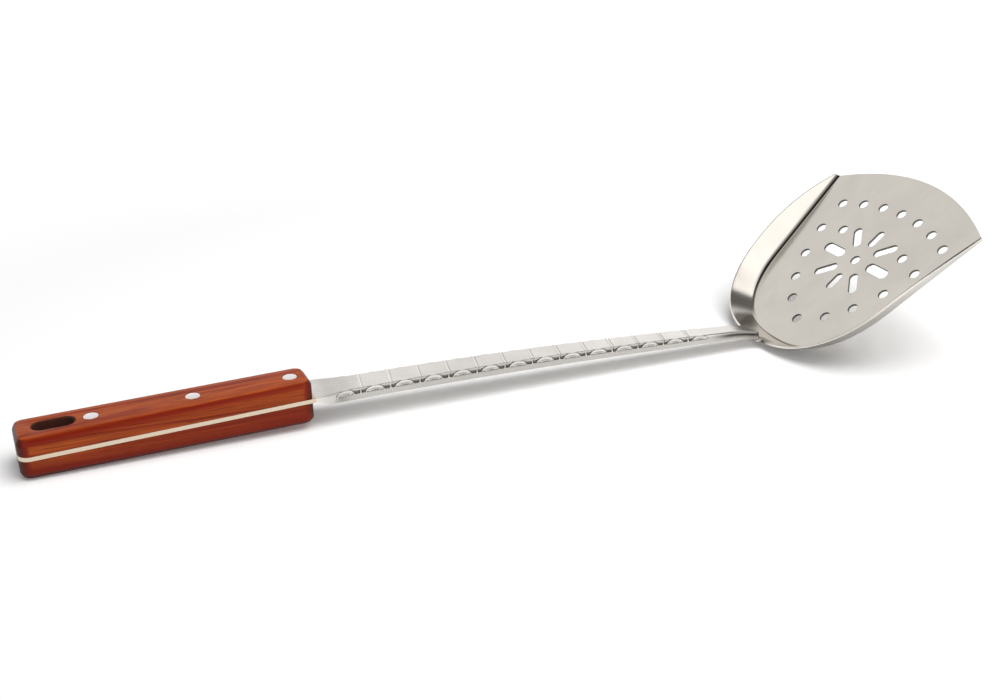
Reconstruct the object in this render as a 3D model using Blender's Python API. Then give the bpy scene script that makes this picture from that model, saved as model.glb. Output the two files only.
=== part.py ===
"""Slotted kitchen turner: a perforated shovel blade, a stamped strip shank and a riveted wooden handle.

Lengths are in metres. The turner lies at rest on the plane z = 0, on the butt of its handle and the
heel of its blade. The butt points to -X and the blade's front edge to +X. The shank and the handle share
one upright plane, a little to the right of the blade's middle. The origin is on the resting plane, under
the middle of the overall length and of the blade's width.
"""
import math

import bmesh
import bpy
import numpy as np
from mathutils import Matrix, Vector

# Whole turner
overall_length = 0.4473
blade_offset = 0.0014

# Clearance between pieces, and the length by which a cut runs past what it cuts
fit_gap = 0.0003
cut_overrun = 0.002

# Wooden handle: two scales on a full tang
handle_length = 0.1226
handle_rise = 0.0039
butt_width = 0.0245
front_width = 0.0200
handle_corner_radius = 0.0050
butt_chamfer = 0.0026
front_chamfer = 0.0019
end_chamfer = 0.0014
upper_butt_thickness = 0.0069
upper_front_thickness = 0.0075
lower_butt_thickness = 0.0083
lower_front_thickness = 0.0093
corner_steps = 6

# Hanging slot through the handle
hang_slot_margin = 0.0074
hang_slot_length = 0.0170
hang_slot_width = 0.0080

# Two-piece rivets
rivet_count = 3
rivet_butt_margin = 0.0310
rivet_front_margin = 0.0078
rivet_head_diameter = 0.0063
rivet_head_thickness = 0.0010
rivet_edge_break = 0.00025
rivet_barrel_diameter = 0.0046
rivet_bore_diameter = 0.0034
rivet_barrel_reach = 0.0025
rivet_bore_depth = 0.0090
rivet_end_clearance = 0.0005
rivet_sides = 24

# Shank: a strip, flat in the handle and a channel with turned-down edges ahead of it
strip_thickness = 0.0021
strip_edge_width = 0.0016
strip_hollow_flare = 0.0008
strip_crown = 0.0021
strip_depth = 0.0046
neck_depth = 0.0032
shoulder_run = 0.0020
channel_top_width = 0.0152
neck_top_width = 0.0086
channel_lead_in = 0.0200
edge_lead_in = 0.0090
tongue_lap = 0.0008
tongue_drop = 0.0025
tongue_bend_length = 0.0150
tongue_slope_share = -0.25
tongue_corner_radius = 0.0022

# Stamped ornament of the shank: cross ridges with an arch on each edge before and after every ridge
ridge_pitch = 0.01372
ridge_lead = 0.0228
ridge_end_margin = 0.0352
ridge_half_width = 0.0006
ridge_height = 0.0003
ridge_skew_share = 0.20
arch_width = 0.0108
arch_bulge = 0.00035
arch_drop_share = 0.47
arch_steps = 8
lead_steps = 6
station_gap = 0.0001
neck_depth_power = 4.0

# Blade: a sheet with a flat floor and a flared wall round its sides and heel
blade_sheet = 0.0012
blade_tilt_degrees = 39.68
floor_front = 0.05381
floor_front_radius = 0.1173
floor_corner = 0.0383
floor_waist = 0.0143
floor_waist_half_width = 0.04662
floor_splay_share = 0.183
heel_length = 0.04153
heel_roundness_power = 2.527
wall_flare_degrees = 37.06
wall_height = 0.01034
wall_corner_height = 0.0020
wall_fall_power = 2.03
wall_fillet_radius = 0.0022
wall_columns = 72
side_samples = 40
heel_samples = 160
fillet_steps = 4
front_steps = 24
corner_shear_length = 0.020

# Drain holes, placed from the centre of the star of slots, which lies beside the blade's middle
star_shift = -0.0028
star_inner_radius = 0.00975
star_slots = 8
ahead_slot_length = 0.0102
ahead_slot_width = 0.0042
slant_slot_length = 0.0127
slant_slot_width = 0.0045
side_slot_length = 0.0150
side_slot_width = 0.0054
drain_hole_diameter = 0.0051
front_row_reach = 0.0328
front_row_radius = 0.1037
front_row_spacing = 0.01362
front_row_pairs = 3
ring_heel_reach = 0.0414
ring_wide_reach = 0.0117
ring_wide_half_width = 0.0241
ring_place_shares = ((0.1802, 0.9193), (-0.2152, 0.7858), (-0.5461, 0.5889), (-0.8043, 0.3420))
hole_sides = 16


def smooth(value):
    """Ease from 0 to 1 as value goes from 0 to 1."""
    held = min(max(value, 0.0), 1.0)
    return held * held * (3.0 - 2.0 * held)


def blend(first, last, share):
    return first + (last - first) * share


def hermite(start, end, leave, arrive, share, run):
    """Height and slope at a share of a smooth curve whose rise per run is given at both ends."""
    cube = 2.0 * (start - end) + leave + arrive
    square = 3.0 * (start - end) + 2.0 * leave + arrive
    height = start + leave * share - square * share ** 2 + cube * share ** 3
    slope = leave - 2.0 * square * share + 3.0 * cube * share ** 2
    return height, slope / run


def material(name, colour, metallic, roughness):
    made = bpy.data.materials.new(name)
    made.use_nodes = True
    shader = made.node_tree.nodes["Principled BSDF"]
    shader.inputs["Base Color"].default_value = (*colour, 1.0)
    shader.inputs["Metallic"].default_value = metallic
    shader.inputs["Roughness"].default_value = roughness
    return made


def add_object(name, vertices, faces, finish, parent, smooth_degrees=35.0):
    """Make one closed mesh object, with its faces pointing outwards."""
    mesh = bpy.data.meshes.new(name)
    shape = bmesh.new()
    points = [shape.verts.new(vertex) for vertex in vertices]
    for face in faces:
        shape.faces.new([points[index] for index in face])
    bmesh.ops.recalc_face_normals(shape, faces=shape.faces)
    shape.to_mesh(mesh)
    shape.free()
    mesh.shade_smooth()
    mesh.set_sharp_from_angle(angle=math.radians(smooth_degrees))
    made = bpy.data.objects.new(name, mesh)
    if finish is not None:
        mesh.materials.append(finish)
    made.parent = parent
    bpy.context.collection.objects.link(made)
    return made


def add_frame(name, parent=None):
    made = bpy.data.objects.new(name, None)
    made.parent = parent
    bpy.context.collection.objects.link(made)
    return made


def hide_cutter(cutter):
    cutter.hide_render = True
    cutter.display_type = "WIRE"


def cut(target, cutter):
    modifier = target.modifiers.new(cutter.name, "BOOLEAN")
    modifier.operation = "DIFFERENCE"
    modifier.solver = "EXACT"
    modifier.object = cutter


def loft(loops):
    """Vertices and faces of a closed stack of equal loops, with a flat cap at each end."""
    size = len(loops[0])
    vertices = [point for loop in loops for point in loop]
    faces = [tuple(range(size)), tuple(range((len(loops) - 1) * size, len(loops) * size))]
    for level in range(len(loops) - 1):
        for index in range(size):
            after = (index + 1) % size
            low, high = level * size, (level + 1) * size
            faces.append((low + index, low + after, high + after, high + index))
    return vertices, faces


def turned(profile, centre, sides):
    """Vertices and faces of a solid turned about a vertical axis, from (radius, height) points."""
    vertices = []
    rings = []
    for radius, height in profile:
        if radius == 0.0:
            rings.append([len(vertices)])
            vertices.append((centre, 0.0, height))
            continue
        ring = []
        for step in range(sides):
            angle = 2.0 * math.pi * step / sides
            ring.append(len(vertices))
            vertices.append((centre + radius * math.cos(angle), radius * math.sin(angle), height))
        rings.append(ring)
    faces = []
    for lower, upper in zip(rings, rings[1:]):
        for step in range(sides):
            corners = []
            for index in (lower[step % len(lower)], lower[(step + 1) % len(lower)],
                          upper[(step + 1) % len(upper)], upper[step % len(upper)]):
                if index not in corners:
                    corners.append(index)
            faces.append(tuple(corners))
    return vertices, faces


def merge_shapes(shapes):
    """Join several (vertices, faces) pairs into one pair of separate solids."""
    vertices, faces = [], []
    for more_vertices, more_faces in shapes:
        start = len(vertices)
        vertices.extend(more_vertices)
        faces.extend([tuple(index + start for index in face) for face in more_faces])
    return vertices, faces


def oblong(length, width, centre, angle, sides):
    """Outline of a slot with round ends, or of a round hole when its length is its width."""
    radius = width / 2.0
    reach = (length - width) / 2.0
    half = sides // 2
    outline = []
    for end in (1.0, -1.0):
        for step in range(half + 1):
            turn = math.pi * (step / half - 0.5)
            along = end * (reach + radius * math.cos(turn))
            across = end * radius * math.sin(turn)
            outline.append((centre[0] + along * math.cos(angle) - across * math.sin(angle),
                            centre[1] + along * math.sin(angle) + across * math.cos(angle)))
    if reach == 0.0:
        outline = outline[:half] + outline[half + 1:-1]
    return outline


# Handle

handle_pitch = math.asin(handle_rise / handle_length)
tang_half = strip_thickness / 2.0
scale_seat = tang_half + fit_gap


def handle_half_width(along):
    return blend(butt_width, front_width, along / handle_length) / 2.0


def handle_chamfer(along):
    return blend(butt_chamfer, front_chamfer, along / handle_length)


def upper_face(along):
    """Height of the handle's top face above the middle of the tang."""
    return scale_seat + blend(upper_butt_thickness, upper_front_thickness, along / handle_length)


def lower_face(along):
    """Depth of the handle's bottom face below the middle of the tang."""
    return scale_seat + blend(lower_butt_thickness, lower_front_thickness, along / handle_length)


def handle_outline(chamfered):
    """The handle's plan, with four rounded corners, drawn in by the chamfer where asked."""
    outline = []
    for side, end in ((1.0, 0.0), (-1.0, 0.0), (-1.0, 1.0), (1.0, 1.0)):
        centre_along = blend(handle_corner_radius, handle_length - handle_corner_radius, end)
        centre_across = side * (handle_half_width(centre_along) - handle_corner_radius)
        radius_across = handle_corner_radius - (handle_chamfer(centre_along) if chamfered else 0.0)
        radius_along = handle_corner_radius - (end_chamfer if chamfered else 0.0)
        for step in range(corner_steps + 1):
            share = step / corner_steps
            turn = share if side * (0.5 - end) < 0.0 else 1.0 - share
            angle = turn * math.pi / 2.0
            outward = -1.0 if end == 0.0 else 1.0
            outline.append((centre_along + outward * radius_along * math.cos(angle),
                            centre_across + side * radius_across * math.sin(angle)))
    return outline


def make_scale(name, side, face_height, finish, frame):
    """One handle scale: side is 1 above the tang and -1 below it."""
    seat = [(along, across, side * scale_seat) for along, across in handle_outline(False)]
    shoulder = [(along, across, side * (face_height(along) - handle_chamfer(along)))
                for along, across in handle_outline(False)]
    face = [(along, across, side * face_height(along)) for along, across in handle_outline(True)]
    return add_object(name, *loft([seat, shoulder, face]), finish, frame)


def rivet_places():
    first, last = rivet_butt_margin, handle_length - rivet_front_margin
    return [blend(first, last, index / (rivet_count - 1)) for index in range(rivet_count)]


def handle_cutter(frame):
    """The hanging slot and the stepped rivet holes, as one cutter."""
    centre = (hang_slot_margin + hang_slot_length / 2.0, 0.0)
    outline = oblong(hang_slot_length, hang_slot_width, centre, 0.0, rivet_sides)
    top = upper_face(handle_length) + cut_overrun
    bottom = -lower_face(handle_length) - cut_overrun
    shapes = [loft([[(x, y, height) for x, y in outline] for height in (bottom, top)])]
    head = rivet_head_diameter / 2.0 + fit_gap
    barrel = rivet_barrel_diameter / 2.0 + fit_gap
    for along in rivet_places():
        under_upper = upper_face(along) - rivet_head_thickness - fit_gap
        under_lower = -lower_face(along) + rivet_head_thickness + fit_gap
        profile = [(0.0, bottom), (head, bottom), (head, under_lower), (barrel, under_lower),
                   (barrel, under_upper), (head, under_upper), (head, top), (0.0, top)]
        shapes.append(turned(profile, along, rivet_sides))
    cutter = add_object("handle_holes_cutter", *merge_shapes(shapes), None, frame)
    hide_cutter(cutter)
    return cutter


def make_rivets(finish, frame):
    """Each rivet is a hollow body from below and a cap from above, whose pin sits in the body's bore."""
    head = rivet_head_diameter / 2.0
    barrel = rivet_barrel_diameter / 2.0
    bore = rivet_bore_diameter / 2.0
    barrel_top = tang_half + rivet_barrel_reach
    bore_floor = barrel_top - rivet_bore_depth
    pin_end = bore_floor + rivet_end_clearance
    names = ("butt", "middle", "front")
    for name, along in zip(names, rivet_places()):
        top = upper_face(along)
        bottom = -lower_face(along)
        pin = bore - fit_gap
        cap = [(0.0, pin_end), (pin, pin_end), (pin, top - rivet_head_thickness),
               (head, top - rivet_head_thickness), (head, top - rivet_edge_break),
               (head - rivet_edge_break, top), (0.0, top)]
        body = [(0.0, bottom), (head - rivet_edge_break, bottom), (head, bottom + rivet_edge_break),
                (head, bottom + rivet_head_thickness), (barrel, bottom + rivet_head_thickness),
                (barrel, barrel_top), (bore, barrel_top), (bore, bore_floor), (0.0, bore_floor)]
        add_object("rivet_cap_" + name, *turned(cap, along, rivet_sides), finish, frame)
        add_object("rivet_body_" + name, *turned(body, along, rivet_sides), finish, frame)


# Blade

blade_tilt = math.radians(blade_tilt_degrees)
wall_flare = math.radians(wall_flare_degrees)
wall_bend = math.pi / 2.0 - wall_flare


def floor_half_width(reach):
    """Half width of the floor at a distance ahead of the star's centre, out to the foot of the wall."""
    side = floor_waist_half_width + floor_splay_share * (reach + floor_waist)
    if reach >= -floor_waist:
        return side
    back = min((-floor_waist - reach) / heel_length, 1.0)
    return side * (1.0 - back ** heel_roundness_power) ** (1.0 / heel_roundness_power)


def foot_line():
    """The foot of the wall from one front corner round the heel to the other, at even steps."""
    reaches = np.linspace(floor_corner, -floor_waist, side_samples)
    sides = [(reach, floor_half_width(reach)) for reach in reaches]
    turns = np.linspace(0.0, math.pi / 2.0, heel_samples)[1:]
    heel = []
    for turn in turns:
        reach = -floor_waist - heel_length * math.sin(turn)
        heel.append((reach, floor_half_width(reach)))
    half = np.array(sides + heel)
    whole = np.vstack([half, (half[:-1] * (1.0, -1.0))[::-1]])
    steps = np.hypot(*np.diff(whole, axis=0).T)
    run = np.concatenate([[0.0], np.cumsum(steps)])
    even = np.linspace(0.0, run[-1], wall_columns)
    points = np.column_stack([np.interp(even, run, whole[:, 0]), np.interp(even, run, whole[:, 1])])
    away = np.gradient(whole, run, axis=0)
    normals = np.column_stack([np.interp(even, run, -away[:, 1]), np.interp(even, run, away[:, 0])])
    normals /= np.linalg.norm(normals, axis=1)[:, None]
    if normals[0, 1] < 0.0:
        normals = -normals
    return points, normals, even


def rim_height(reach):
    """The wall keeps its height round the heel and falls along the sides to the front corners."""
    share = (reach + floor_waist) / (floor_corner + floor_waist)
    if share <= 0.0:
        return wall_height
    return wall_corner_height + (wall_height - wall_corner_height) * (1.0 - share ** wall_fall_power)


def wall_profile(height):
    """Section of the wall as (outward, up) points: the inner face, the rim, then the outer face."""
    inset = wall_fillet_radius * math.tan(wall_bend / 2.0)
    turns = [wall_bend * step / fillet_steps for step in range(fillet_steps + 1)]
    inner = [(-inset + wall_fillet_radius * math.sin(turn), wall_fillet_radius * (1.0 - math.cos(turn)))
             for turn in turns]
    rim = (height * math.tan(wall_flare), height)
    rim_outer = (rim[0] + blade_sheet * math.cos(wall_flare), rim[1] - blade_sheet * math.sin(wall_flare))
    outer_radius = wall_fillet_radius + blade_sheet
    outer = [(-inset + outer_radius * math.sin(turn), wall_fillet_radius - outer_radius * math.cos(turn))
             for turn in reversed(turns)]
    return inner + [rim, rim_outer] + outer


def blade_shape():
    """Vertices and faces of the blade without its holes, in its own frame: x ahead, z up from the floor."""
    points, normals, run = foot_line()
    corner_half = floor_half_width(floor_corner)
    front_slope = corner_half / floor_front_radius
    vertices, columns = [], []
    for (reach, across), normal, along in zip(points, normals, run):
        from_corner = min(along, run[-1] - along)
        share = max(0.0, 1.0 - from_corner / corner_shear_length) ** 2
        edge = np.array((-front_slope, math.copysign(1.0, across)))
        edge /= edge @ normal
        outward = blend(normal, edge, share)
        column = []
        for away, up in wall_profile(rim_height(reach)):
            column.append(len(vertices))
            vertices.append((reach + away * outward[0], across + away * outward[1], up))
        columns.append(column)
    faces = []
    depth = len(columns[0])
    for left, right in zip(columns, columns[1:]):
        for row in range(depth - 1):
            faces.append((left[row], right[row], right[row + 1], left[row + 1]))
    start, end = columns[0], columns[-1]
    for side in (start, end):
        for row in range(depth // 2 - 1):
            faces.append((side[row], side[row + 1], side[depth - 2 - row], side[depth - 1 - row]))
    front_top, front_bottom = [end[0]], [end[-1]]
    half = abs(vertices[start[0]][1])
    end_reach = vertices[start[0]][0]
    bow = floor_front - end_reach
    for step in range(1, front_steps):
        across = -half + 2.0 * half * step / front_steps
        reach = end_reach + bow * (1.0 - (across / half) ** 2)
        front_top.append(len(vertices))
        vertices.append((reach, across, 0.0))
        front_bottom.append(len(vertices))
        vertices.append((reach, across, -blade_sheet))
    front_top.append(start[0])
    front_bottom.append(start[-1])
    for step in range(front_steps):
        faces.append((front_top[step], front_top[step + 1], front_bottom[step + 1], front_bottom[step]))
    faces.append(tuple([column[0] for column in columns] + front_top[1:-1]))
    faces.append(tuple([column[-1] for column in columns] + front_bottom[1:-1]))
    return vertices, faces


def star_slot_size(angle):
    """Length and width of a slot: short along the blade, long and wide across it, in between on a slant."""
    if math.isclose(math.sin(angle), 0.0, abs_tol=1e-6):
        return ahead_slot_length, ahead_slot_width
    if math.isclose(math.cos(angle), 0.0, abs_tol=1e-6):
        return side_slot_length, side_slot_width
    return slant_slot_length, slant_slot_width


def drain_outlines():
    """Outlines of the star of slots, the row along the front and the ring round the rest of the floor."""
    outlines = []
    for index in range(star_slots):
        angle = 2.0 * math.pi * index / star_slots
        length, width = star_slot_size(angle)
        radius = star_inner_radius + length / 2.0
        centre = (radius * math.cos(angle), radius * math.sin(angle) + star_shift)
        outlines.append(oblong(length, width, centre, angle, hole_sides))
    round_centres = [(0.0, 0.0), (front_row_reach, 0.0), (-ring_heel_reach, 0.0)]
    pairs = [(ring_wide_reach, ring_wide_half_width)]
    pairs += [(ring_heel_reach * ahead, ring_heel_reach * across) for ahead, across in ring_place_shares]
    for index in range(1, front_row_pairs + 1):
        angle = index * front_row_spacing / front_row_radius
        drop = front_row_radius * (1.0 - math.cos(angle))
        pairs.append((front_row_reach - drop, front_row_radius * math.sin(angle)))
    for reach, across in pairs:
        round_centres.extend([(reach, across), (reach, -across)])
    for reach, across in round_centres:
        centre = (reach, across + star_shift)
        outlines.append(oblong(drain_hole_diameter, drain_hole_diameter, centre, 0.0, hole_sides))
    return outlines


def blade_matrix(vertices):
    """Tilt the blade, seat its heel on the resting plane and put its front edge at the overall length.

    Its middle lies beside the shank's, by the blade's offset.
    """
    tilt = Matrix.Rotation(-blade_tilt, 4, "Y")
    tilted = np.array([tilt @ Vector(vertex) for vertex in vertices])
    place = (overall_length - tilted[:, 0].max(), blade_offset, -tilted[:, 2].min())
    return Matrix.Translation(place) @ tilt


def make_blade(finish, frame):
    vertices, faces = blade_shape()
    placed = blade_matrix(vertices)
    blade = add_object("blade", vertices, faces, finish, frame)
    levels = (-blade_sheet - cut_overrun, cut_overrun)
    drains = [loft([[(x, y, level) for x, y in outline] for level in levels])
              for outline in drain_outlines()]
    cutter = add_object("drain_cutter", *merge_shapes(drains), None, frame)
    hide_cutter(cutter)
    cut(blade, cutter)
    for piece in (blade, cutter):
        piece.matrix_local = placed
    return placed


# Shank

def tang_line(handle_matrix):
    """Top of the tang at the butt and at the handle's front, in the turner's frame."""
    butt = handle_matrix @ Vector((0.0, 0.0, tang_half))
    front = handle_matrix @ Vector((handle_length, 0.0, tang_half))
    return butt, front


def tongue_end(blade_placed):
    """Top of the strip's end, whose turned-down edges stand on the inside of the blade's rear wall."""
    heel = -floor_waist - heel_length
    foot = blade_placed @ Vector((heel, 0.0, 0.0))
    rim = blade_placed @ Vector((heel - wall_height * math.tan(wall_flare), 0.0, wall_height))
    across = rim.x + tongue_lap
    wall = blend(rim.z, foot.z, tongue_lap / (foot.x - rim.x))
    upright = math.hypot(1.0, tongue_slope_share)
    clear = (fit_gap + neck_depth) * upright
    return Vector((across, 0.0, wall + clear))


def shank_line(front, end):
    """Height and slope of the strip's top face over the distance along X, ahead of the handle."""
    bend = end.x - tongue_bend_length
    span = bend - front.x
    bend_height = end.z + tongue_drop
    chord = (bend_height - front.z) / span

    def along(distance):
        if distance <= bend:
            share = (distance - front.x) / span
            rise = 4.0 * strip_crown
            return (blend(front.z, bend_height, share) + rise * share * (1.0 - share),
                    chord + rise * (1.0 - 2.0 * share) / span)
        share = (distance - bend) / tongue_bend_length
        first = (chord - 4.0 * strip_crown / span) * tongue_bend_length
        last = tongue_slope_share * tongue_bend_length
        return hermite(bend_height, end.z, first, last, share, tongue_bend_length)

    return along


def ridge_places(front, end):
    """Distances of the cross ridges: as many as fit between the handle's lead and the end's margin."""
    first = front.x + ridge_lead
    count = int((end.x - ridge_end_margin - first) / ridge_pitch) + 1
    return [first + index * ridge_pitch for index in range(max(count, 1))]


def arch_places(front, end):
    """Distances of the arches' crowns: half a pitch before each ridge, and after the last one."""
    ridges = ridge_places(front, end)
    return [place - ridge_pitch / 2.0 for place in ridges] + [ridges[-1] + ridge_pitch / 2.0]


def arch_share(distance, centres):
    """How far an arch stands out at a distance: 1 at its crown and 0 at its feet."""
    nearest = min(abs(distance - centre) for centre in centres) / (arch_width / 2.0)
    return math.sqrt(max(0.0, 1.0 - nearest ** 2))


def tip_inset(distance, end):
    """How far the strip's rounded tip is drawn in at a distance."""
    past = distance - (end.x - tongue_corner_radius)
    if past <= 0.0:
        return 0.0
    return tongue_corner_radius - math.sqrt(max(0.0, tongue_corner_radius ** 2 - past ** 2))


def shank_stations(front, end):
    """Distances along X at which the strip's section is drawn ahead of the handle."""
    places = {front.x, end.x}
    places.update(front.x + channel_lead_in * step / lead_steps for step in range(1, lead_steps))
    places.update(end.x - tongue_bend_length * step / lead_steps for step in range(1, lead_steps + 1))
    for centre in ridge_places(front, end):
        places.update((centre - ridge_half_width, centre, centre + ridge_half_width))
    for centre in arch_places(front, end):
        for step in range(arch_steps + 1):
            places.add(centre + arch_width / 2.0 * math.cos(math.pi * step / arch_steps))
    for step in range(corner_steps + 1):
        turn = math.pi / 2.0 * step / corner_steps
        places.add(end.x - tongue_corner_radius * (1.0 - math.sin(turn)))
    ordered = sorted(places)
    return [place for place, after in zip(ordered, ordered[1:]) if after - place > station_gap] + [end.x]


def strip_section(top_half, run, depth, bulge, ridge, skew):
    """One section of the strip as (along, across, up) points, with a hollow underside where it is deep."""
    half = top_half + run
    hollow = half - strip_edge_width
    middle = top_half + run * arch_drop_share + bulge
    right = [(top_half, ridge), (middle, -depth * arch_drop_share), (half, -depth),
             (hollow, -depth), (hollow - strip_hollow_flare, -strip_thickness)]
    whole = right + [(-across, up) for across, up in reversed(right)]
    return [(across * skew, across, up) for across, up in whole]


def shank_section(distance, front, end):
    """The strip's section at a distance along X: flat at the handle, then a channel as far as its tip."""
    share = (distance - front.x) / (end.x - front.x)
    lead = smooth((distance - front.x) / channel_lead_in)
    ridges, arches = ridge_places(front, end), arch_places(front, end)
    channel_half = blend(channel_top_width, neck_top_width, share) / 2.0 - tip_inset(distance, end)
    top_half = blend(handle_half_width(handle_length), channel_half, lead)
    edge_lead = smooth((distance - front.x) / edge_lead_in)
    depth = blend(strip_thickness, blend(strip_depth, neck_depth, share ** neck_depth_power), edge_lead)
    stamped = arches[0] - arch_width / 2.0 <= distance <= arches[-1] + arch_width / 2.0
    bulge = arch_bulge * (2.0 * arch_share(distance, arches) - 1.0) if stamped else 0.0
    ridge = ridge_height if min(abs(distance - place) for place in ridges) < ridge_half_width / 2.0 else 0.0
    skew = ridge_skew_share * lead * smooth((end.x - distance) / channel_lead_in)
    return strip_section(top_half, shoulder_run * lead, depth, bulge, ridge, skew)


def make_shank(handle_matrix, blade_placed, finish, frame):
    butt, front = tang_line(handle_matrix)
    end = tongue_end(blade_placed)
    line = shank_line(front, end)
    axis = (front - butt).normalized()
    upright = Vector((-axis.z, 0.0, axis.x))
    loops = []
    for step in range(corner_steps + 1):
        turn = math.pi / 2.0 * step / corner_steps
        along = handle_corner_radius * (1.0 - math.cos(turn))
        half = handle_half_width(along) - handle_corner_radius * (1.0 - math.sin(turn))
        centre = butt + axis * along
        section = strip_section(half, 0.0, strip_thickness, 0.0, 0.0, 0.0)
        loops.append([centre + Vector((0.0, across, 0.0)) + upright * up for _, across, up in section])
    for distance in shank_stations(front, end):
        height, slope = line(distance)
        centre = Vector((distance, 0.0, height))
        tangent = Vector((1.0, 0.0, slope)).normalized()
        normal = upright if distance == front.x else Vector((-tangent.z, 0.0, tangent.x))
        section = shank_section(distance, front, end)
        loops.append([centre + tangent * along + Vector((0.0, across, 0.0)) + normal * up
                      for along, across, up in section])
    return add_object("shank", *loft(loops), finish, frame)


def main():
    for leftover in list(bpy.data.objects):
        bpy.data.objects.remove(leftover, do_unlink=True)
    steel = material("brushed_stainless", (0.74, 0.73, 0.71), 1.0, 0.28)
    rivet_steel = material("polished_rivet", (0.86, 0.84, 0.81), 1.0, 0.22)
    wood = material("varnished_wood", (0.36, 0.09, 0.035), 0.0, 0.25)

    turner = add_frame("turner")
    handle = add_frame("handle_axis", turner)
    lean = Matrix.Rotation(-handle_pitch, 4, "Y")
    lowest = lean @ Vector((end_chamfer, 0.0, -lower_face(end_chamfer)))
    handle_matrix = Matrix.Translation((0.0, 0.0, -lowest.z)) @ lean
    handle.matrix_local = handle_matrix

    blade_placed = make_blade(steel, turner)
    shank = make_shank(handle_matrix, blade_placed, steel, turner)
    upper = make_scale("upper_scale", 1.0, upper_face, wood, handle)
    lower = make_scale("lower_scale", -1.0, lower_face, wood, handle)
    make_rivets(rivet_steel, handle)
    holes = handle_cutter(handle)
    for piece in (shank, upper, lower):
        cut(piece, holes)

    butt_reach = handle_matrix @ Vector((0.0, 0.0, upper_face(0.0) - butt_chamfer))
    turner.location = (-(overall_length + butt_reach.x) / 2.0, -blade_offset, 0.0)
    bpy.context.view_layer.update()


main()
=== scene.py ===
"""Looks of the slotted turner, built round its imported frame. Lengths are in metres.

The fine pieces stand for the frame's plain ones and follow the same sizes. The turner lies on a white floor.
"""
import math

import bmesh
import bpy
import numpy as np
from mathutils import Matrix, Vector


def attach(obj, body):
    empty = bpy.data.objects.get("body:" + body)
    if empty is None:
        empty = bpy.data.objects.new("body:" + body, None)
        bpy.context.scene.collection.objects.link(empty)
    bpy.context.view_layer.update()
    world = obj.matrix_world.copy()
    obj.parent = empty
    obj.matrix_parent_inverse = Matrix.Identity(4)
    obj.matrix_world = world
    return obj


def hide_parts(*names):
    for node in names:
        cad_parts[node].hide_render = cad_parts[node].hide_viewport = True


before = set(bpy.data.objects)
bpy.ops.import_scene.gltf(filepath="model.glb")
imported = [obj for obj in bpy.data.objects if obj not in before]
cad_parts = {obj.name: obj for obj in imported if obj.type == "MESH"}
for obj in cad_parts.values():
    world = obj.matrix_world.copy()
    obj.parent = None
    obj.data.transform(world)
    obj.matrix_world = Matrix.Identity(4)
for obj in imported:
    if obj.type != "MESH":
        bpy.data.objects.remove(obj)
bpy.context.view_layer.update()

BODY = "root"

# Sizes shared with the frame: whole turner and handle
overall_length = 0.4473
blade_offset = 0.0014
handle_length = 0.1226
handle_rise = 0.0039
butt_width = 0.0245
front_width = 0.0200
handle_corner_radius = 0.0050
butt_chamfer = 0.0026
front_chamfer = 0.0019
end_chamfer = 0.0014
fit_gap = 0.0003
upper_butt_thickness = 0.0069
upper_front_thickness = 0.0075
lower_butt_thickness = 0.0083
lower_front_thickness = 0.0093
hang_slot_margin = 0.0074
hang_slot_length = 0.0170
hang_slot_width = 0.0080
rivet_names = ("butt", "middle", "front")
rivet_butt_margin = 0.0310
rivet_front_margin = 0.0078
rivet_head_diameter = 0.0063
rivet_head_thickness = 0.0010

# Sizes shared with the frame: strip
strip_thickness = 0.0021
strip_edge_width = 0.0016
strip_hollow_flare = 0.0008
strip_crown = 0.0021
strip_depth = 0.0046
neck_depth = 0.0032
shoulder_run = 0.0020
channel_top_width = 0.0152
neck_top_width = 0.0086
channel_lead_in = 0.0200
edge_lead_in = 0.0090
tongue_lap = 0.0008
tongue_drop = 0.0025
tongue_bend_length = 0.0150
tongue_slope_share = -0.25
tongue_corner_radius = 0.0022
neck_depth_power = 4.0
ridge_count = 13
ridge_pitch = 0.01372
ridge_lead = 0.0228
ridge_skew_share = 0.20

# Sizes shared with the frame: blade
blade_sheet = 0.0012
blade_tilt = math.radians(39.68)
floor_front = 0.05381
floor_front_radius = 0.1173
floor_corner = 0.0383
floor_waist = 0.0143
floor_waist_half_width = 0.04662
floor_splay_share = 0.183
heel_length = 0.04153
heel_roundness_power = 2.527
wall_flare = math.radians(37.06)
wall_height = 0.01034
wall_corner_height = 0.0020
wall_fall_power = 2.03
wall_fillet_radius = 0.0022
corner_shear_length = 0.020
star_shift = -0.0028
star_inner_radius = 0.00975
star_slots = 8
ahead_slot = (0.0102, 0.0042)
slant_slot = (0.0127, 0.0045)
side_slot = (0.0150, 0.0054)
drain_hole_diameter = 0.0051
front_row_reach = 0.0328
front_row_radius = 0.1037
front_row_spacing = 0.01362
front_row_pairs = 3
ring_heel_reach = 0.0414
ring_wide_reach = 0.0117
ring_wide_half_width = 0.0241
ring_place_shares = ((0.1802, 0.9193), (-0.2152, 0.7858), (-0.5461, 0.5889), (-0.8043, 0.3420))

# Finish of the handle, with painted shade on its chamfers, sides and rounded corners. Its upper side is 1.0
# and its lower side -1.0; a side's shade is given for the edge at the tang and for the edge under the chamfer
wood_edge_radius = 0.0007
wood_seat_gap = 0.00003
wood_seat_break = 0.00015
slot_mouth_radius = 0.0007
chamfer_shade = {1.0: 0.55, -1.0: 1.0}
chamfer_shade_power = 0.3
side_shade = {1.0: (0.08, 0.08), -1.0: (0.16, 0.52)}
corner_shade_power = 0.6
rivet_gap = 0.00006
rivet_dome = 0.00006
rivet_dome_shares = (0.8, 0.55, 0.25)
rivet_edge_radius = 0.00025
rivet_depth_share = 0.98
tang_edge_radius = 0.00015
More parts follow.
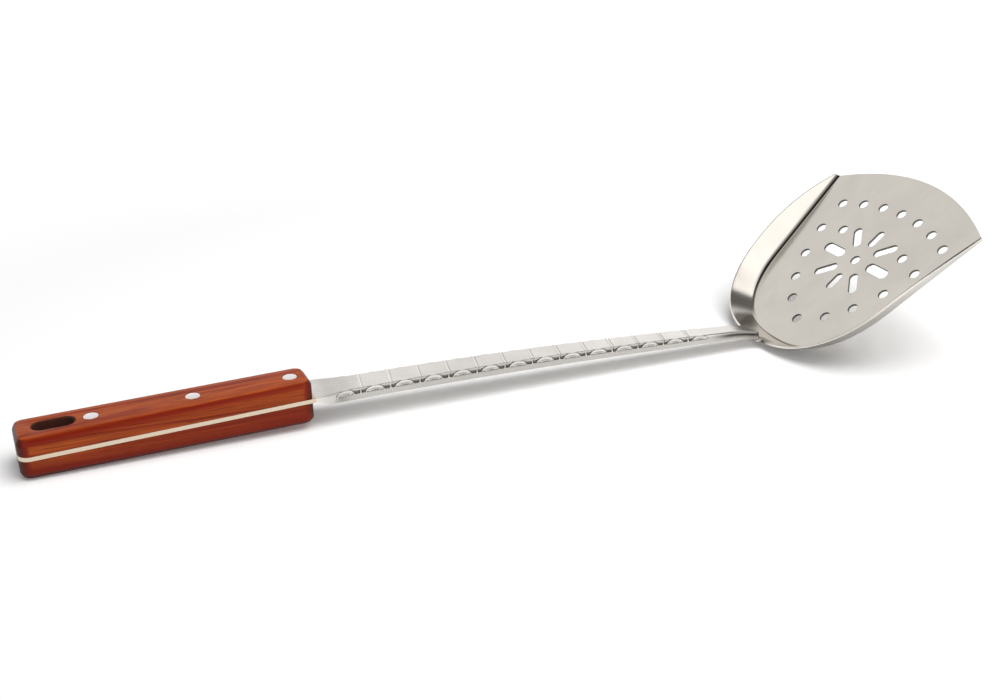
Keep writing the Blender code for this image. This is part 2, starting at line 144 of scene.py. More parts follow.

# Finish of the blade: softened edges, then painted shade at the strip's joint, in the folds along the walls
# and on the wall's outer face
rim_edge_radius = 0.0004
hole_mouth_radius = 0.00015
wedge_offset = (0.0012, -0.0056)
wedge_reach = (0.0042, 0.0052, 0.0032)
wedge_core_share = 0.5
heel_fold_height = 0.0007
heel_fold_across = -0.0050
heel_fold_reach = 0.0140
far_fold_height = 0.0010
far_fold_start = -0.0450
near_fold_start = -0.0220
fold_run = 0.0200
fold_edge = 0.0001
fold_darkness = 0.9
outer_painted_shade = (0.52, 0.80)

# Finish of the strip: soft edges and the stamped band of ridges, grooves, arches, dishes and pits
shoulder_radius = 0.0005
neck_shoulder_radius = 0.0013
shoulder_most_share = 0.3
top_most_share = 0.5
lip_radius = 0.0004
band_share = 0.47
arch_half_length = 0.0045
arch_shift = -0.0004
arch_edge_share = 0.10
arch_ring_centre_share = 0.93
arch_ring_share = 0.09
arch_ring_height = 0.00018
dish_length_share = 0.74
dish_centre_share = 0.62
dish_height_share = 0.34
dish_depth = 0.00032
pit_depth = 0.00060
pit_slope_share = 0.70
pit_end_share = 0.88
ridge_height = 0.00026
ridge_reach = 0.00042
ridge_foot_reach = 0.00055
ridge_end_share = 0.85
ridge_fade_share = 0.3
groove_offset = 0.00090
groove_reach = 0.00026
groove_depth = 0.00014

# Painted shade on the strip: in its stamped forms, then towards the neck and beside the handle
pit_shade = 1.1
groove_shade = 0.40
dish_shade = 0.36
base_shade = 0.6
base_centre_share = 0.97
base_share = 0.10
base_fade_share = 0.2
outline_shade = 0.5
outline_centre_share = 1.07
outline_share = 0.06
most_shade = 0.85
neck_shade = 0.95
neck_shade_reach = 0.0300
neck_shade_centre_share = 0.36
neck_shade_share = 0.28
handle_shade = 0.28
handle_shade_reach = 0.0300
raw_edge_fade = 0.0012

# Weld beads: how far their middles lie behind the strip's end, and their half sizes
weld_back = 0.0016
weld_reach = (0.0022, 0.0011, 0.0009)
weld_lump_share = 0.10
weld_lumps = 9.0

# Fineness of the visible meshes
corner_steps = 12
edge_steps = 4
slot_sides = 48
rivet_sides = 64
hole_sides = 40
hole_mouth_steps = 3
side_points = 120
heel_points = 599
wall_columns = 260
wall_rows = 8
fillet_steps = 10
front_steps = 80
station_spacing = 0.00018
tip_steps = 10
top_steps = 18
shoulder_steps = 6
flank_steps = 32
lip_steps = 2
hollow_steps = 3
weld_steps = 16
cut_overrun = 0.002
usual_crease = 35.0
wood_crease = 30.0
blade_crease = 32.0
strip_crease = 50.0
weld_crease = 60.0

# Colours, and the least and most roughness of the steels
white = (1.0, 1.0, 1.0)
floor_colours = ((0.92, 0.92, 0.92), (0.94, 0.94, 0.94))
blade_colour = (0.85, 0.80, 0.73)
blade_roughness = (0.11, 0.19)
strip_colour = (0.82, 0.785, 0.74)
strip_roughness = (0.18, 0.30)
line_darkness = 0.93
raw_steel_colour = (0.68, 0.57, 0.44)
# Colour of the painted shade on the steels
painted_shade_colour = (0.060, 0.054, 0.047)
# sheared hole walls, dark as painted shade inside the holes
punched_shade_colours = ((0.10, 0.095, 0.085), (0.28, 0.265, 0.24))
rivet_colours = ((0.98, 0.93, 0.91), (0.88, 0.80, 0.78))
weld_colours = ((0.42, 0.39, 0.35), (0.78, 0.75, 0.70))
wood_bands = ((0.30, (0.17, 0.016, 0.003)), (0.44, (0.36, 0.046, 0.007)),
              (0.56, (0.52, 0.100, 0.014)), (0.70, (0.30, 0.034, 0.005)))
wood_fibre_colour = (0.12, 0.011, 0.002)
wood_pore_colour = (0.045, 0.006, 0.003)
shade_red = (0.19, 0.009, 0.001)
shade_dark = (0.034, 0.006, 0.003)
cut_wood_colours = ((0.035, 0.008, 0.004), (0.085, 0.020, 0.009))

# Floor: its half width, and how far from the middle its glow grows from its least to its most
floor_half = 4.0
glow_run = (0.30, 1.3)
glow_levels = (0.12, 0.95)

# Surround that gloss shows, as (height, brightness): beyond the turner, over it and on the camera's side, and
# where one turns into the next
far_levels = ((0.0, 0.80), (0.28, 0.90), (0.36, 0.82), (0.395, 0.74), (0.425, 0.55),
              (0.60, 0.58), (0.76, 0.57), (0.86, 0.30), (0.93, 0.05))
over_levels = ((0.50, 0.54), (0.62, 0.24), (0.70, 0.10))
near_levels = ((0.0, 0.26), (0.15, 0.34), (0.33, 0.60), (0.50, 0.60), (0.62, 0.78),
               (0.70, 1.0), (0.86, 1.0), (0.89, 0.05))
to_over = ((0.465, 0.0), (0.495, 1.0))
to_far = ((0.645, 0.0), (0.71, 1.0))
surround_strength = 1.3
fill_strength = 0.20

# Lamps: place, width and power in watts
lamps = {"key_lamp": ((0.42, -0.32, 1.5), 1.5, 27.0), "front_lamp": ((-0.5, -1.4, 1.2), 1.4, 4.0)}

# Camera: its place, its turn to the right, dip and roll in radians, and its lens and film in millimetres
camera_place = (-0.23847, -0.53979, 0.27068)
camera_turn = 0.4002
camera_dip = 0.4072
camera_roll = 0.0042
camera_lens = 50.134
camera_film = 36.0


# Sums that several pieces use

def smooth(value, start=0.0, run=1.0):
    """A smooth step from 0 at the start to 1 a run later."""
    share = np.clip((value - start) / run, 0.0, 1.0)
    return share * share * (3.0 - 2.0 * share)


def bell(value, centre, reach, power=2):
    """1 at the centre, fading on both sides within about twice the reach."""
    return np.exp(-((value - centre) / reach) ** power)


def blend(first, last, share):
    return first + (last - first) * share


def quarter_turn(steps):
    """Even angles from 0 to a right angle."""
    return [math.pi / 2.0 * step / steps for step in range(steps + 1)]


def steps_to(first, last, steps):
    """The points after the first one, in even steps up to the last."""
    return [blend(first, last, share) for share in np.linspace(0.0, 1.0, steps + 1)[1:]]


def rounded_corner(before, corner, after, steps):
    """Points of a smooth bend from before to after, pulled towards the corner."""
    share = np.linspace(0.0, 1.0, steps + 1)[:, None]
    return list((1.0 - share) ** 2 * before + 2.0 * share * (1.0 - share) * corner + share ** 2 * after)


# Mesh helpers

def add_object(name, data):
    made = bpy.data.objects.new(name, data)
    bpy.context.scene.collection.objects.link(made)
    return made


def add_piece(name, vertices, faces, material, place=Matrix(), crease=usual_crease):
    """A smooth-shaded mesh, put in its place by its vertices, so that every piece has the frame's origin."""
    mesh = bpy.data.meshes.new(name)
    mesh.from_pydata(vertices, [], faces)
    mesh.transform(place)
    shape = bmesh.new()
    shape.from_mesh(mesh)
    bmesh.ops.recalc_face_normals(shape, faces=shape.faces)
    shape.to_mesh(mesh)
    shape.free()
    mesh.shade_smooth()
    mesh.set_sharp_from_angle(angle=math.radians(crease))
    mesh.materials.append(material)
    return add_object(name, mesh)


def loft(loops):
    """Vertices and faces of a closed stack of equal loops, with a flat cap at each end."""
    size = len(loops[0])
    vertices = [tuple(point) for loop in loops for point in loop]
    faces = [tuple(range(size)), tuple(range((len(loops) - 1) * size, len(loops) * size))]
    for low in range(0, (len(loops) - 1) * size, size):
        for index in range(size):
            after = (index + 1) % size
            faces.append((low + index, low + after, low + size + after, low + size + index))
    return vertices, faces


def turned(profile, centre):
    """Vertices and faces of a solid turned about a vertical axis, from (radius, height) points."""
    vertices, rings, faces = [], [], []
    for radius, height in profile:
        if radius == 0.0:
            rings.append([len(vertices)])
            vertices.append((centre, 0.0, height))
            continue
        rings.append(range(len(vertices), len(vertices) + rivet_sides))
        for step in range(rivet_sides):
            angle = 2.0 * math.pi * step / rivet_sides
            vertices.append((centre + radius * math.cos(angle), radius * math.sin(angle), height))
    for lower, upper in zip(rings, rings[1:]):
        for step in range(rivet_sides):
            corners = [lower[step % len(lower)], lower[(step + 1) % len(lower)],
                       upper[(step + 1) % len(upper)], upper[step % len(upper)]]
            faces.append(tuple(dict.fromkeys(corners)))
    return vertices, faces


def merge_shapes(shapes):
    vertices, faces = [], []
    for more_vertices, more_faces in shapes:
        start = len(vertices)
        vertices.extend(more_vertices)
        faces.extend([tuple(index + start for index in face) for face in more_faces])
    return vertices, faces


def oblong(length, width, centre, angle, sides, growth):
    """Outline of a slot with round ends, or of a round hole when its length is its width."""
    radius = width / 2.0 + growth
    reach = (length - width) / 2.0
    half = sides // 2
    outline = []
    for end in (1.0, -1.0):
        for step in range(half + 1):
            turn = math.pi * (step / half - 0.5)
            along = end * (reach + radius * math.cos(turn))
            across = end * radius * math.sin(turn)
            outline.append((centre[0] + along * math.cos(angle) - across * math.sin(angle),
                            centre[1] + along * math.sin(angle) + across * math.cos(angle)))
    if reach == 0.0:
        outline = outline[:half] + outline[half + 1:-1]
    return outline


def slot_cutter(rings, *slot):
    """A cutter for a slot or a round hole, which grows along its (growth, height) rings."""
    return loft([[(x, y, height) for x, y in oblong(*slot, growth)] for growth, height in rings])


def mouth_rings(top, radius, steps):
    """(growth, height) of a cutter's upper rings, which flare out round the mouth of its hole."""
    rings = [(radius * (1.0 - math.cos(turn)), top - radius * (1.0 - math.sin(turn)))
             for turn in quarter_turn(steps)]
    return rings + [(radius, top + cut_overrun)]


def carve(target, cutter_shape, place, material):
    """Cut a shape out of a piece for good; the cut faces take the given material."""
    cutter = add_piece(target.name + "_cutter", *cutter_shape, material, place)
    modifier = target.modifiers.new("carve", "BOOLEAN")
    modifier.operation = "DIFFERENCE"
    modifier.solver = "EXACT"
    modifier.object = cutter
    modifier.material_mode = "TRANSFER"
    bpy.context.view_layer.update()
    carved = target.evaluated_get(bpy.context.evaluated_depsgraph_get())
    mesh = bpy.data.meshes.new_from_object(carved)
    target.modifiers.clear()
    target.data = mesh
    bpy.data.objects.remove(cutter, do_unlink=True)


def paint(piece, name, values):
    """Keep one number for each point of a piece, for its material to read."""
    attribute = piece.data.attributes.new(name, "FLOAT", "POINT")
    attribute.data.foreach_set("value", np.asarray(values, dtype=np.float32))


def settle(piece, slot, *nodes):
    """Put a finished piece on the body and let it stand for its frame nodes, which are hidden; the slot is
    not used.
    """
    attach(piece, BODY)
    if nodes:
        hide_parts(*nodes)


# Materials

class Nodes:
    """The nodes of a material or a world, added and linked in short calls."""

    def __init__(self, owner):
        owner.use_nodes = True
        self.owner = owner
        self.tree = owner.node_tree

    def add(self, kind, settings=(), **inputs):
        """A new node, with its settings made before its inputs are fed."""
        node = self.tree.nodes.new("ShaderNode" + kind)
        for name, value in dict(settings).items():
            setattr(node, name, value)
        for name, value in inputs.items():
            self.feed(node, name, value)
        return node

    def feed(self, node, name, value):
        """Link or set an input, which is called by its name or, after an underscore, by its number."""
        name = name.replace("_", " ").strip()
        socket = node.inputs[int(name) if name.isdigit() else name]
        if isinstance(value, bpy.types.NodeSocket):
            self.tree.links.new(value, socket)
        else:
            socket.default_value = (*value, 1.0) if socket.type == "RGBA" else value

    def place(self, scale=(1.0, 1.0, 1.0), turn=(0.0, 0.0, 0.0)):
        """Object coordinates, turned and then stretched."""
        coordinates = self.add("TexCoord").outputs["Object"]
        turned_by = self.add("Mapping", Vector=coordinates, Rotation=turn).outputs["Vector"]
        return self.add("Mapping", Vector=turned_by, Scale=scale).outputs["Vector"]

    def noise(self, vector, scale, detail=3.0, roughness=0.6, distortion=0.0):
        node = self.add("TexNoise", Vector=vector, Scale=scale, Detail=detail,
                        Roughness=roughness, Distortion=distortion)
        return node.outputs["Fac"]

    def painted(self, name):
        """The number that paint gave to each point."""
        return self.add("Attribute", {"attribute_name": name}).outputs["Fac"]

    def ramp(self, value, stops):
        """A colour for each value, from (position, colour) stops; a colour may be one grey level."""
        node = self.add("ValToRGB", Fac=value)
        elements = node.color_ramp.elements
        elements.remove(elements[1])
        elements[0].position = stops[0][0]
        for index, (position, colour) in enumerate(stops):
            element = elements.new(position) if index else elements[0]
            element.color = (*np.broadcast_to(colour, 3), 1.0)
        return node.outputs["Color"]

    def math(self, operation, first, second):
        return self.add("Math", {"operation": operation}, _0=first, _1=second).outputs["Value"]

    def range(self, value, low, high, to_low=0.0, to_high=1.0):
        node = self.add("MapRange", Value=value, From_Min=low, From_Max=high,
                        To_Min=to_low, To_Max=to_high)
        return node.outputs["Result"]

    def mix(self, share, first, second, blend_type="MIX"):
        settings = {"data_type": "RGBA", "blend_type": blend_type}
        return self.add("Mix", settings, _0=share, _6=first, _7=second).outputs[2]

    def bump(self, height, distance, **under):
        """Relief so many metres high, on top of another if that is given as Normal."""
        return self.add("Bump", Height=height, Distance=distance, **under).outputs["Normal"]

    def rays(self, *kinds):
        """1 where the ray is of one of these kinds."""
        first, *others = [self.add("LightPath").outputs[f"Is {kind} Ray"] for kind in kinds]
        for other in others:
            first = self.math("MAXIMUM", first, other)
        return first

    def finish(self, **inputs):
        """Feed the material's own shader and return the material."""
        for name, value in inputs.items():
            self.feed(self.tree.nodes["Principled BSDF"], name, value)
        return self.owner


def new_material(name):
    return Nodes(bpy.data.materials.new(name))


def steel(name, base, roughness, tilt, hatch=False):
    """Satin stainless sheet: fine brushed lines, faint blotches and scratches, painted shade where the
    piece's points carry it, and maybe a stamped hatch.
    """
    nodes = new_material(name)
    lines = nodes.noise(nodes.place((6.0, 900.0, 900.0), (0.0, tilt, 0.0)), 3.0, 4.0, 0.65)
    blotches = nodes.noise(nodes.place(), 38.0, 4.0, 0.55, 0.4)
    scratches = nodes.noise(nodes.place((14.0, 420.0, 420.0), (0.0, tilt, 0.18)), 2.2, 2.0, 0.5)
    marks = nodes.range(scratches, 0.66, 0.72)
    darker = tuple(channel * line_darkness for channel in base)
    colour = nodes.mix(nodes.range(lines, 0.25, 0.75), darker, base)
    colour = nodes.mix(1.0, colour, nodes.range(blotches, 0.3, 0.7, 0.93, 1.04), "MULTIPLY")
    colour = nodes.mix(nodes.painted("raw_edge"), colour, raw_steel_colour)
    # painted shade: darkened towards the shade colour as much as each point's painted number says
    colour = nodes.mix(nodes.painted("painted_shade"), colour, painted_shade_colour)
    marked = nodes.math("ADD", lines, nodes.math("MULTIPLY", marks, 0.3))
    height = nodes.math("ADD", lines, nodes.math("MULTIPLY", marks, -0.6))
    normal = nodes.bump(height, 0.000012)
    if hatch:
        places = nodes.place(turn=(0.0, 0.0, math.radians(38.0)))
        wave = nodes.add("TexWave", Vector=places, Scale=330.0, Distortion=1.2, Detail=1.0)
        worn = nodes.range(blotches, 0.35, 0.62, 0.1)
        normal = nodes.bump(nodes.math("MULTIPLY", wave.outputs["Fac"], worn), 0.00005, Normal=normal)
    return nodes.finish(Base_Color=colour, Metallic=1.0, Roughness=nodes.range(marked, 0.3, 0.9, *roughness),
                        Normal=normal)


def varnished_wood():
    """Reddish hardwood: growth streaks and pores along the handle, a varnish coat, and painted shade along
    its chamfers, sides and corners.
    """
    nodes = new_material("varnished_wood")
    bands = nodes.noise(nodes.place((4.0, 130.0, 150.0)), 1.6, 5.0, distortion=0.8)
    fibre = nodes.noise(nodes.place((22.0, 1500.0, 1500.0)), 1.0, 4.0)
    pores = nodes.range(nodes.noise(nodes.place((60.0, 2300.0, 2300.0)), 1.0, 2.0, 0.5), 0.62, 0.72)
    colour = nodes.ramp(bands, wood_bands)
    colour = nodes.mix(nodes.range(fibre, 0.35, 0.7, 0.0, 0.65), colour, wood_fibre_colour)
    colour = nodes.mix(nodes.math("MULTIPLY", pores, 0.75), colour, wood_pore_colour)
    # painted shade: the edges darken to a deep red, then almost to black
    edge_shading = nodes.painted("painted_edge_shade")
    colour = nodes.mix(nodes.range(edge_shading, 0.0, 0.5, 0.0, 0.90), colour, shade_red)
    colour = nodes.mix(nodes.range(edge_shading, 0.5, 1.0, 0.0, 0.92), colour, shade_dark)
    normal = nodes.bump(nodes.math("SUBTRACT", fibre, pores), 0.00002)
    return nodes.finish(Base_Color=colour, Roughness=nodes.range(fibre, 0.3, 0.7, 0.38, 0.52), Normal=normal,
                        Coat_Weight=0.20, Coat_Roughness=0.12, Specular_IOR_Level=0.05)


def bare_wood():
    """Unvarnished wood inside the hanging slot."""
    nodes = new_material("bare_wood")
    fibre = nodes.noise(nodes.place((500.0, 500.0, 90.0)), 1.5, 4.0)
    return nodes.finish(Base_Color=nodes.mix(fibre, *cut_wood_colours), Roughness=0.8,
                        Normal=nodes.bump(fibre, 0.00008))


def punched_edge():
    """Sheared walls of the drain holes: rough, and dark as painted shade inside the holes."""
    nodes = new_material("punched_edge")
    streaks = nodes.noise(nodes.place(), 1800.0)
    return nodes.finish(Base_Color=nodes.mix(streaks, *punched_shade_colours), Metallic=1.0, Roughness=0.55,
                        Normal=nodes.bump(streaks, 0.00004))


def rivet_metal():
    """Ground and polished rivet heads with fine lap marks."""
    nodes = new_material("rivet_metal")
    marks = nodes.noise(nodes.place((700.0, 2500.0, 700.0), (0.0, 0.0, 0.5)), 1.0)
    spots = nodes.range(nodes.noise(nodes.place(), 900.0), 0.35, 0.7)
    return nodes.finish(Base_Color=nodes.mix(spots, *rivet_colours), Metallic=1.0,
                        Roughness=nodes.range(marks, 0.3, 0.7, 0.2, 0.34), Normal=nodes.bump(marks, 0.000012))


def weld_metal():
    nodes = new_material("weld_metal")
    ripple = nodes.noise(nodes.place(), 700.0)
    return nodes.finish(Base_Color=nodes.mix(ripple, *weld_colours), Metallic=1.0,
                        Roughness=nodes.range(ripple, 0.3, 0.7, 0.22, 0.4),
                        Normal=nodes.bump(ripple, 0.00012))


# Handle

handle_pitch = math.asin(handle_rise / handle_length)
tang_half = strip_thickness / 2.0
scale_seat = tang_half + fit_gap
slot_centre = hang_slot_margin + hang_slot_length / 2.0
hanging_slot = (hang_slot_length, hang_slot_width, (slot_centre, 0.0), 0.0, slot_sides)


def tapered(butt, front):
    """A function of the distance from the butt, for a size that changes evenly along the handle."""
    return lambda along: blend(butt, front, along / handle_length)


handle_half_width = tapered(butt_width / 2.0, front_width / 2.0)
handle_chamfer = tapered(butt_chamfer, front_chamfer)
upper_face = tapered(scale_seat + upper_butt_thickness, scale_seat + upper_front_thickness)
lower_face = tapered(scale_seat + lower_butt_thickness, scale_seat + lower_front_thickness)


def rivet_places():
    first, last = rivet_butt_margin, handle_length - rivet_front_margin
    return [blend(first, last, index / (len(rivet_names) - 1)) for index in range(len(rivet_names))]


def handle_outline(inset_share, offset):
    """The handle's plan, drawn in by a share of the chamfer and then by a small even offset."""
    outline = []
    for side, outward in ((1.0, -1.0), (-1.0, -1.0), (-1.0, 1.0), (1.0, 1.0)):
        centre_along = handle_corner_radius if outward < 0.0 else handle_length - handle_corner_radius
        centre_across = side * (handle_half_width(centre_along) - handle_corner_radius)
        radius_across = handle_corner_radius - handle_chamfer(centre_along) * inset_share - offset
        radius_along = handle_corner_radius - end_chamfer * inset_share - offset
        for turn in quarter_turn(corner_steps)[::1 if side * outward > 0.0 else -1]:
            outline.append((centre_along + outward * radius_along * math.cos(turn),
                            centre_across + side * radius_across * math.sin(turn)))
    return outline


def scale_rings(face_height):
    """A scale's rings, seat first: the chamfer share and the offset each is drawn in by, and its height."""
    soft = wood_edge_radius / butt_chamfer
    seat = tang_half + wood_seat_gap
    rings = [(0.0, wood_seat_break, lambda along: seat), (0.0, 0.0, lambda along: seat + wood_seat_break)]
    bends = rounded_corner((0.0, -1.0 - soft), (0.0, -1.0), (soft, -1.0 + soft), edge_steps)
    bends += rounded_corner((1.0 - soft, -soft), (1.0, 0.0), (1.0 + soft, 0.0), edge_steps)
    rings += [(inset, 0.0, lambda along, drop=drop: face_height(along) + drop * handle_chamfer(along))
              for inset, drop in bends]
    return rings


def edge_shade_of_ring(side, at_tang, inset):
    """How much painted shade one ring takes: on the chamfer, on the side and round the corners."""
    below = inset < 0.5
    on_chamfer = math.sin(math.pi * np.clip(inset, 0.0, 1.0)) ** chamfer_shade_power
    on_side = side_shade[side][0 if at_tang else 1] * below
    turned_shares = [math.sin(turn) ** corner_shade_power for turn in quarter_turn(corner_steps)]
    return [max(on_chamfer * chamfer_shade[side], on_side, share * max(on_chamfer, below))
            for share in (turned_shares + turned_shares[::-1]) * 2]


def scale_cutters(side, face_height):
    """What is cut from a scale: the hanging slot with its rolled mouth, and the seats of the rivets."""
    inner = tang_half - cut_overrun
    rings = [(0.0, inner)] + mouth_rings(face_height(slot_centre), slot_mouth_radius, edge_steps)
    rings = [(growth, side * height) for growth, height in rings]
    shapes = [slot_cutter(rings, *hanging_slot)]
    seat = rivet_head_diameter / 2.0 + rivet_gap
    for along in rivet_places():
        floor = side * (face_height(along) - rivet_head_thickness)
        roof = side * (face_height(along) + cut_overrun)
        shapes.append(turned([(0.0, floor), (seat, floor), (seat, roof), (0.0, roof)], along))
    return merge_shapes(shapes)


def make_scale(name, node, side, face_height, place, wood, inner_wood):
    """One scale with softened edges, whose seat meets the tang."""
    loops, edge_shading = [], []
    for index, (inset, offset, height) in enumerate(scale_rings(face_height)):
        outline = handle_outline(inset, offset)
        loops.append([(along, across, side * height(along)) for along, across in outline])
        edge_shading += edge_shade_of_ring(side, index < 2, inset)
    scale = add_piece(name, *loft(loops), wood, place)
    # painted shade along the chamfers, the sides and the rounded corners
    paint(scale, "painted_edge_shade", edge_shading)
    carve(scale, scale_cutters(side, face_height), place, inner_wood)
    scale.data.set_sharp_from_angle(angle=math.radians(wood_crease))
    settle(scale, "varnished_wood", node)


def make_rivet_head(name, node, side, face_height, along, place, metal):
    """A flush rivet head: a slightly domed disc with a softened edge, as deep as its seat."""
    head = rivet_head_diameter / 2.0
    rim = head - rivet_edge_radius
    top = face_height(along)
    depth = top - rivet_head_thickness * rivet_depth_share
    profile = [(0.0, depth), (head, depth)]
    profile += [(rim + rivet_edge_radius * math.cos(turn), top - rivet_edge_radius * (1.0 - math.sin(turn)))
                for turn in quarter_turn(edge_steps)]
    profile += [(rim * share, top + rivet_dome * (1.0 - share ** 2)) for share in (*rivet_dome_shares, 0.0)]
    shape = turned([(radius, side * height) for radius, height in profile], along)
    settle(add_piece(name, *shape, metal, place), "rivet_metal", node)


# Blade

wall_bend = math.pi / 2.0 - wall_flare
first_rim_row = fillet_steps + 1 + wall_rows
half_wall_rows = first_rim_row + edge_steps + 1
star_slot_sizes = (ahead_slot, slant_slot, side_slot, slant_slot)


def floor_half_width(reach):
    side = floor_waist_half_width + floor_splay_share * (reach + floor_waist)
    back = min(max((-floor_waist - reach) / heel_length, 0.0), 1.0)
    return side * (1.0 - back ** heel_roundness_power) ** (1.0 / heel_roundness_power)


def foot_line():
    """The foot of the wall from one front corner round the heel to the other: points, normals and run."""
    reaches = [*np.linspace(floor_corner, -floor_waist, side_points)]
    reaches += [-floor_waist - heel_length * math.sin(turn) for turn in quarter_turn(heel_points)[1:]]
    half = np.array([(reach, floor_half_width(reach)) for reach in reaches])
    whole = np.vstack([half, (half[:-1] * (1.0, -1.0))[::-1]])
    steps = np.hypot(*np.diff(whole, axis=0).T)
    run = np.concatenate([[0.0], np.cumsum(steps)])
    even = np.linspace(0.0, run[-1], wall_columns)
    points = np.column_stack([np.interp(even, run, places) for places in whole.T])
    ahead = np.gradient(whole, run, axis=0)
    normals = np.column_stack([np.interp(even, run, ahead[:, 1]), np.interp(even, run, -ahead[:, 0])])
    normals /= np.linalg.norm(normals, axis=1)[:, None]
    return points, normals, even


def rim_height(reach):
    share = max((reach + floor_waist) / (floor_corner + floor_waist), 0.0)
    return blend(wall_height, wall_corner_height, share ** wall_fall_power)


def wall_profile(height):
    """Section of the wall as (outward, up) points: inner face, softened rim, then the outer face."""
    centre = np.array((-wall_fillet_radius * math.tan(wall_bend / 2.0), wall_fillet_radius))
    turns = wall_bend * np.arange(fillet_steps + 1) / fillet_steps
    bend = np.column_stack([np.sin(turns), -np.cos(turns)])
    inner = list(centre + wall_fillet_radius * bend)
    outer = list(centre + (wall_fillet_radius + blade_sheet) * bend[::-1])
    rim = np.array((height * math.tan(wall_flare), height))
    up = np.array((math.sin(wall_flare), math.cos(wall_flare)))
    out = np.array((math.cos(wall_flare), -math.sin(wall_flare)))
    outer_rim = rim + out * blade_sheet
    up, out = up * rim_edge_radius, out * rim_edge_radius
    edge = rounded_corner(rim - up, rim, rim + out, edge_steps)
    edge += rounded_corner(outer_rim - out, outer_rim, outer_rim - up, edge_steps)
    return (inner + steps_to(inner[-1], edge[0], wall_rows + 1)[:-1] + edge
            + steps_to(edge[-1], outer[0], wall_rows + 1)[:-1] + outer)


def wall_sections():
    """Vertices of the wall, and those of each of its sections, which lean out at the front corners."""
    points, normals, run = foot_line()
    front_slope = floor_half_width(floor_corner) / floor_front_radius
    vertices, columns = [], []
    for (reach, across), normal, along in zip(points, normals, run):
        from_corner = min(along, run[-1] - along)
        share = max(0.0, 1.0 - from_corner / corner_shear_length) ** 2
        edge = np.array((-front_slope, math.copysign(1.0, across)))
        edge /= edge @ normal
        outward = blend(normal, edge, share)
        columns.append(range(len(vertices), len(vertices) + 2 * half_wall_rows))
        vertices += [(reach + away * outward[0], across + away * outward[1], up)
                     for away, up in wall_profile(rim_height(reach))]
    return vertices, columns


def blade_shape():
    """Vertices and faces of the sheet: its wall, the curved front edge and the two faces of its floor."""
    vertices, columns = wall_sections()
    faces = [(left[row], right[row], right[row + 1], left[row + 1])
             for left, right in zip(columns, columns[1:]) for row in range(2 * half_wall_rows - 1)]
    start, end = columns[0], columns[-1]
    faces += [(side[row], side[row + 1], side[-2 - row], side[-1 - row])
              for side in (start, end) for row in range(half_wall_rows - 1)]
    front_top, front_bottom = [end[0]], [end[-1]]
    end_reach, half, _ = vertices[start[0]]
    bow = floor_front - end_reach
    for step in range(1, front_steps):
        across = -half + 2.0 * half * step / front_steps
        reach = end_reach + bow * (1.0 - (across / half) ** 2)
        front_top.append(len(vertices))
        front_bottom.append(len(vertices) + 1)
        vertices += [(reach, across, 0.0), (reach, across, -blade_sheet)]
    front_top.append(start[0])
    front_bottom.append(start[-1])
    faces += [(front_top[step], front_top[step + 1], front_bottom[step + 1], front_bottom[step])
              for step in range(front_steps)]
    faces.append(tuple([column[0] for column in columns] + front_top[1:-1]))
    faces.append(tuple([column[-1] for column in columns] + front_bottom[1:-1]))
    return vertices, faces


def drain_cutters():
    """The star of slots, the row along the front and the ring round the rest, each with a rolled mouth."""
    places = []
    for index in range(star_slots):
        angle = 2.0 * math.pi * index / star_slots
        length, width = star_slot_sizes[index % len(star_slot_sizes)]
        radius = star_inner_radius + length / 2.0
        centre = (radius * math.cos(angle), radius * math.sin(angle) + star_shift)
        places.append((length, width, centre, angle))
    round_centres = [(0.0, 0.0), (front_row_reach, 0.0), (-ring_heel_reach, 0.0)]
    pairs = [(ring_wide_reach, ring_wide_half_width)]
    pairs += [(ring_heel_reach * ahead, ring_heel_reach * across) for ahead, across in ring_place_shares]
    for index in range(1, front_row_pairs + 1):
        angle = index * front_row_spacing / front_row_radius
        pairs.append((front_row_reach - front_row_radius * (1.0 - math.cos(angle)),
                      front_row_radius * math.sin(angle)))
    for reach, across in pairs:
        round_centres.extend([(reach, across), (reach, -across)])
    for reach, across in round_centres:
        places.append((drain_hole_diameter, drain_hole_diameter, (reach, across + star_shift), 0.0))
    upper = mouth_rings(0.0, hole_mouth_radius, hole_mouth_steps)
    rings = [(growth, -blade_sheet - height) for growth, height in upper[::-1]] + upper
    return merge_shapes([slot_cutter(rings, *place, hole_sides) for place in places])


def blade_matrix(vertices):
    """Tilts the blade, and brings its front to the turner's full length and its lowest point to the floor."""
    tilt = Matrix.Rotation(-blade_tilt, 4, "Y")
    tilted = np.array([tilt @ Vector(vertex) for vertex in vertices])
    place = (overall_length - tilted[:, 0].max(), blade_offset, -tilted[:, 2].min())
    return Matrix.Translation(place) @ tilt


def joint_painted_shade(vertices, placed):
    """Painted shade at the strip's joint and in the walls' folds, and on the outer face of the wall."""
    points = np.array(vertices)
    reach, across, up = points.T
    row = np.arange(len(points))
    row = np.where(row < 2 * half_wall_rows * wall_columns, row % (2 * half_wall_rows), 0)
    past_rim = row - (half_wall_rows + edge_steps)
    joint = placed.inverted() @ (tongue_end(placed) + Vector((*wedge_offset, -neck_depth)))
    wedge = 1.0 - smooth(np.linalg.norm((points - np.array(joint)) / wedge_reach, axis=1), wedge_core_share)
    heel_fold = smooth(1.0 - abs(up - heel_fold_height) / heel_fold_height) * (reach < -floor_waist)
    heel_fold *= smooth(1.0 - abs(across - heel_fold_across) / heel_fold_reach)
    off_floor = smooth(up, 0.0, fold_edge)
    far_fold = off_floor * (1.0 - smooth(up, far_fold_height, far_fold_height)) * (across > 0.0)
    far_fold *= smooth(reach, far_fold_start, fold_run)
    near_fold = off_floor * (across < 0.0) * (row <= first_rim_row + edge_steps // 2)
    near_fold *= smooth(reach, near_fold_start, fold_run)
    dark = fold_darkness * np.max([wedge, heel_fold, far_fold, near_fold], axis=0)
    # painted shade on the outer face, darker towards its foot
    outer_shade = blend(*outer_painted_shade, past_rim / (half_wall_rows - edge_steps))
    return np.where(past_rim < 0, dark, outer_shade)


